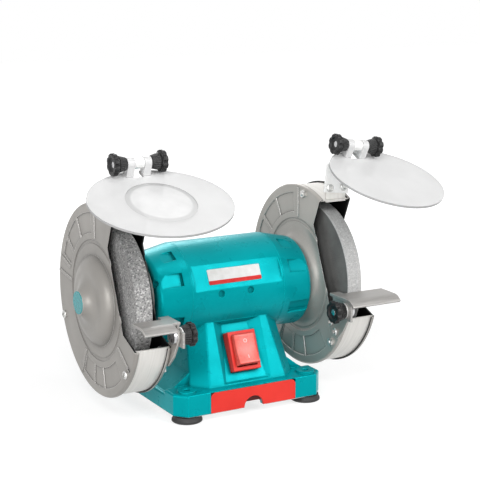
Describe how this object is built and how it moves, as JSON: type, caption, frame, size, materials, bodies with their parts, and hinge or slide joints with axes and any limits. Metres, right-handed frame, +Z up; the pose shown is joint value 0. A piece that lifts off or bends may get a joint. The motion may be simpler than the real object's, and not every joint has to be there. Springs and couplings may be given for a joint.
{
  "type": "bench grinder",
  "caption": "Bench grinder with a wheel in a domed guard at each end of its motor, tilting eye shields, sliding tool rests and a rocker switch on a cast pedestal.",
  "frame": {"origin": "on the bench, midway between the four bolt holes through the feet", "axes": "+Z up, +X along the shaft to the right seen from the switch, front with the switch towards -Y"},
  "size_m": [0.3723, 0.2508, 0.2627],
  "materials": {
    "teal_paint": "semi-gloss paint on a casting",
    "red_plastic": "moulded, slightly glossy",
    "guard_grey": "satin grey paint on pressed sheet",
    "band_steel": "rolled sheet",
    "zinc_steel": "zinc plated",
    "rest_steel": "zinc plated sheet",
    "bright_steel": "turned",
    "coarse_grit": "bonded abrasive, coarse",
    "fine_grit": "bonded abrasive, fine",
    "black_plastic": "moulded",
    "rubber": "moulded",
    "clear_plastic": "clear sheet",
    "lens": "clear, polished",
    "label": "plain sticker",
    "badge": "plain disc",
    "laminated_steel": "stacked laminations",
    "copper": "enamelled wire",
    "grey_plastic": "moulded"
  },
  "bodies": {
    "housing": {"motor_housing": "teal_paint", "left_end_bell": "teal_paint", "right_end_bell": "teal_paint", "bell_screws": "zinc_steel", "base_plate": "zinc_steel", "base_plate_screws": "zinc_steel", "rubber_feet": "rubber", "front_plate": "red_plastic", "cable_gland": "black_plastic", "switch_frame": "red_plastic", "capacitor": "grey_plastic", "capacitor_clamp": "zinc_steel", "terminal_block": "grey_plastic", "stator_core": "laminated_steel", "stator_windings": "copper", "bearing_outer_rings": "bright_steel", "preload_washer": "bright_steel", "left_inner_guard": "guard_grey", "right_inner_guard": "guard_grey", "left_guard_band": "band_steel", "right_guard_band": "band_steel", "left_outer_cover": "guard_grey", "right_outer_cover": "guard_grey", "guard_mount_screws": "zinc_steel", "cover_screws": "zinc_steel", "cover_nuts": "zinc_steel", "left_shield_bracket": "zinc_steel", "right_shield_bracket": "zinc_steel", "bracket_screws": "bright_steel", "left_rest_bracket": "zinc_steel", "right_rest_bracket": "zinc_steel", "rest_bracket_screws": "bright_steel", "label_plate": "label", "hub_badges": "badge", "shield_pivot_bolts": "bright_steel", "rest_clamp_bolts": "bright_steel"},
    "rotor": {"shaft": "bright_steel", "rotor_core": "laminated_steel", "bearing_inner_rings": "bright_steel", "left_wheel": "coarse_grit", "right_wheel": "fine_grit", "inner_flanges": "zinc_steel", "outer_flanges": "zinc_steel", "wheel_nuts": "zinc_steel"},
    "switch_rocker": {"switch_rocker": "red_plastic"},
    "left_balls": {"left_bearing_balls": "bright_steel"},
    "left_rest_collar": {"left_rest_washer": "zinc_steel"},
    "left_rest": {"left_tool_rest": "rest_steel"},
    "left_rest_knob": {"left_rest_knob": "black_plastic"},
    "left_shield": {"left_eye_shield": "clear_plastic", "left_magnifier": "lens"},
    "left_shield_knob_outer": {"left_shield_knob_outer": "black_plastic"},
    "left_shield_knob_inner": {"left_shield_knob_inner": "black_plastic"},
    "right_balls": {"right_bearing_balls": "bright_steel"},
    "right_rest_collar": {"right_rest_washer": "zinc_steel"},
    "right_rest": {"right_tool_rest": "rest_steel"},
    "right_rest_knob": {"right_rest_knob": "black_plastic"},
    "right_shield": {"right_eye_shield": "clear_plastic"},
    "right_shield_knob_outer": {"right_shield_knob_outer": "black_plastic"},
    "right_shield_knob_inner": {"right_shield_knob_inner": "black_plastic"}
  },
  "joints": [
    {"name": "rotor_spin", "type": "hinge", "parent": "housing", "child": "rotor", "pos_m": [0, 0, 0.111], "axis": [1, 0, 0], "continuous": true},
    {"name": "rocker_press", "type": "hinge", "parent": "housing", "child": "switch_rocker", "pos_m": [0, -0.05296, 0.05677], "axis": [1, 0, 0], "range_deg": [0, 12]},
    {"name": "left_ball_roll", "type": "hinge", "parent": "housing", "child": "left_balls", "pos_m": [-0.0705, 0, 0.111], "axis": [1, 0, 0], "continuous": true},
    {"name": "left_rest_tilt", "type": "hinge", "parent": "housing", "child": "left_rest_collar", "pos_m": [-0.0872, -0.0945, 0.0945], "axis": [1, 0, 0], "range_deg": [-10, 10]},
    {"name": "left_rest_slide", "type": "slide", "parent": "left_rest_collar", "child": "left_rest", "axis": [0, -1, 0], "range_m": [-0.001, 0.009]},
    {"name": "left_rest_knob_turn", "type": "hinge", "parent": "housing", "child": "left_rest_knob", "pos_m": [-0.0872, -0.0945, 0.0945], "axis": [1, 0, 0], "range_deg": [-180, 180]},
    {"name": "left_shield_tilt", "type": "hinge", "parent": "housing", "child": "left_shield", "pos_m": [-0.1138, -0.065, 0.25], "axis": [1, 0, 0], "range_deg": [-60, 50]},
    {"name": "left_shield_knob_outer_turn", "type": "hinge", "parent": "housing", "child": "left_shield_knob_outer", "pos_m": [-0.1138, -0.065, 0.25], "axis": [1, 0, 0], "range_deg": [-180, 180]},
    {"name": "left_shield_knob_inner_turn", "type": "hinge", "parent": "housing", "child": "left_shield_knob_inner", "pos_m": [-0.1138, -0.065, 0.25], "axis": [1, 0, 0], "range_deg": [-180, 180]},
    {"name": "right_ball_roll", "type": "hinge", "parent": "housing", "child": "right_balls", "pos_m": [0.0705, 0, 0.111], "axis": [1, 0, 0], "continuous": true},
    {"name": "right_rest_tilt", "type": "hinge", "parent": "housing", "child": "right_rest_collar", "pos_m": [0.0872, -0.0945, 0.0945], "axis": [1, 0, 0], "range_deg": [-10, 10]},
    {"name": "right_rest_slide", "type": "slide", "parent": "right_rest_collar", "child": "right_rest", "axis": [0, -1, 0], "range_m": [-0.001, 0.009]},
    {"name": "right_rest_knob_turn", "type": "hinge", "parent": "housing", "child": "right_rest_knob", "pos_m": [0.0872, -0.0945, 0.0945], "axis": [1, 0, 0], "range_deg": [-180, 180]},
    {"name": "right_shield_tilt", "type": "hinge", "parent": "housing", "child": "right_shield", "pos_m": [0.11928, -0.065, 0.24966], "axis": [0.9925, 0, -0.1219], "range_deg": [-60, 50]},
    {"name": "right_shield_knob_outer_turn", "type": "hinge", "parent": "housing", "child": "right_shield_knob_outer", "pos_m": [0.11928, -0.065, 0.24966], "axis": [0.9925, 0, -0.1219], "range_deg": [-180, 180]},
    {"name": "right_shield_knob_inner_turn", "type": "hinge", "parent": "housing", "child": "right_shield_knob_inner", "pos_m": [0.11928, -0.065, 0.24966], "axis": [0.9925, 0, -0.1219], "range_deg": [-180, 180]}
  ],
  "couplings": [
    {"joint": "left_ball_roll", "follows": "rotor_spin", "ratio": 0.388},
    {"joint": "right_ball_roll", "follows": "rotor_spin", "ratio": 0.388}
  ]
}
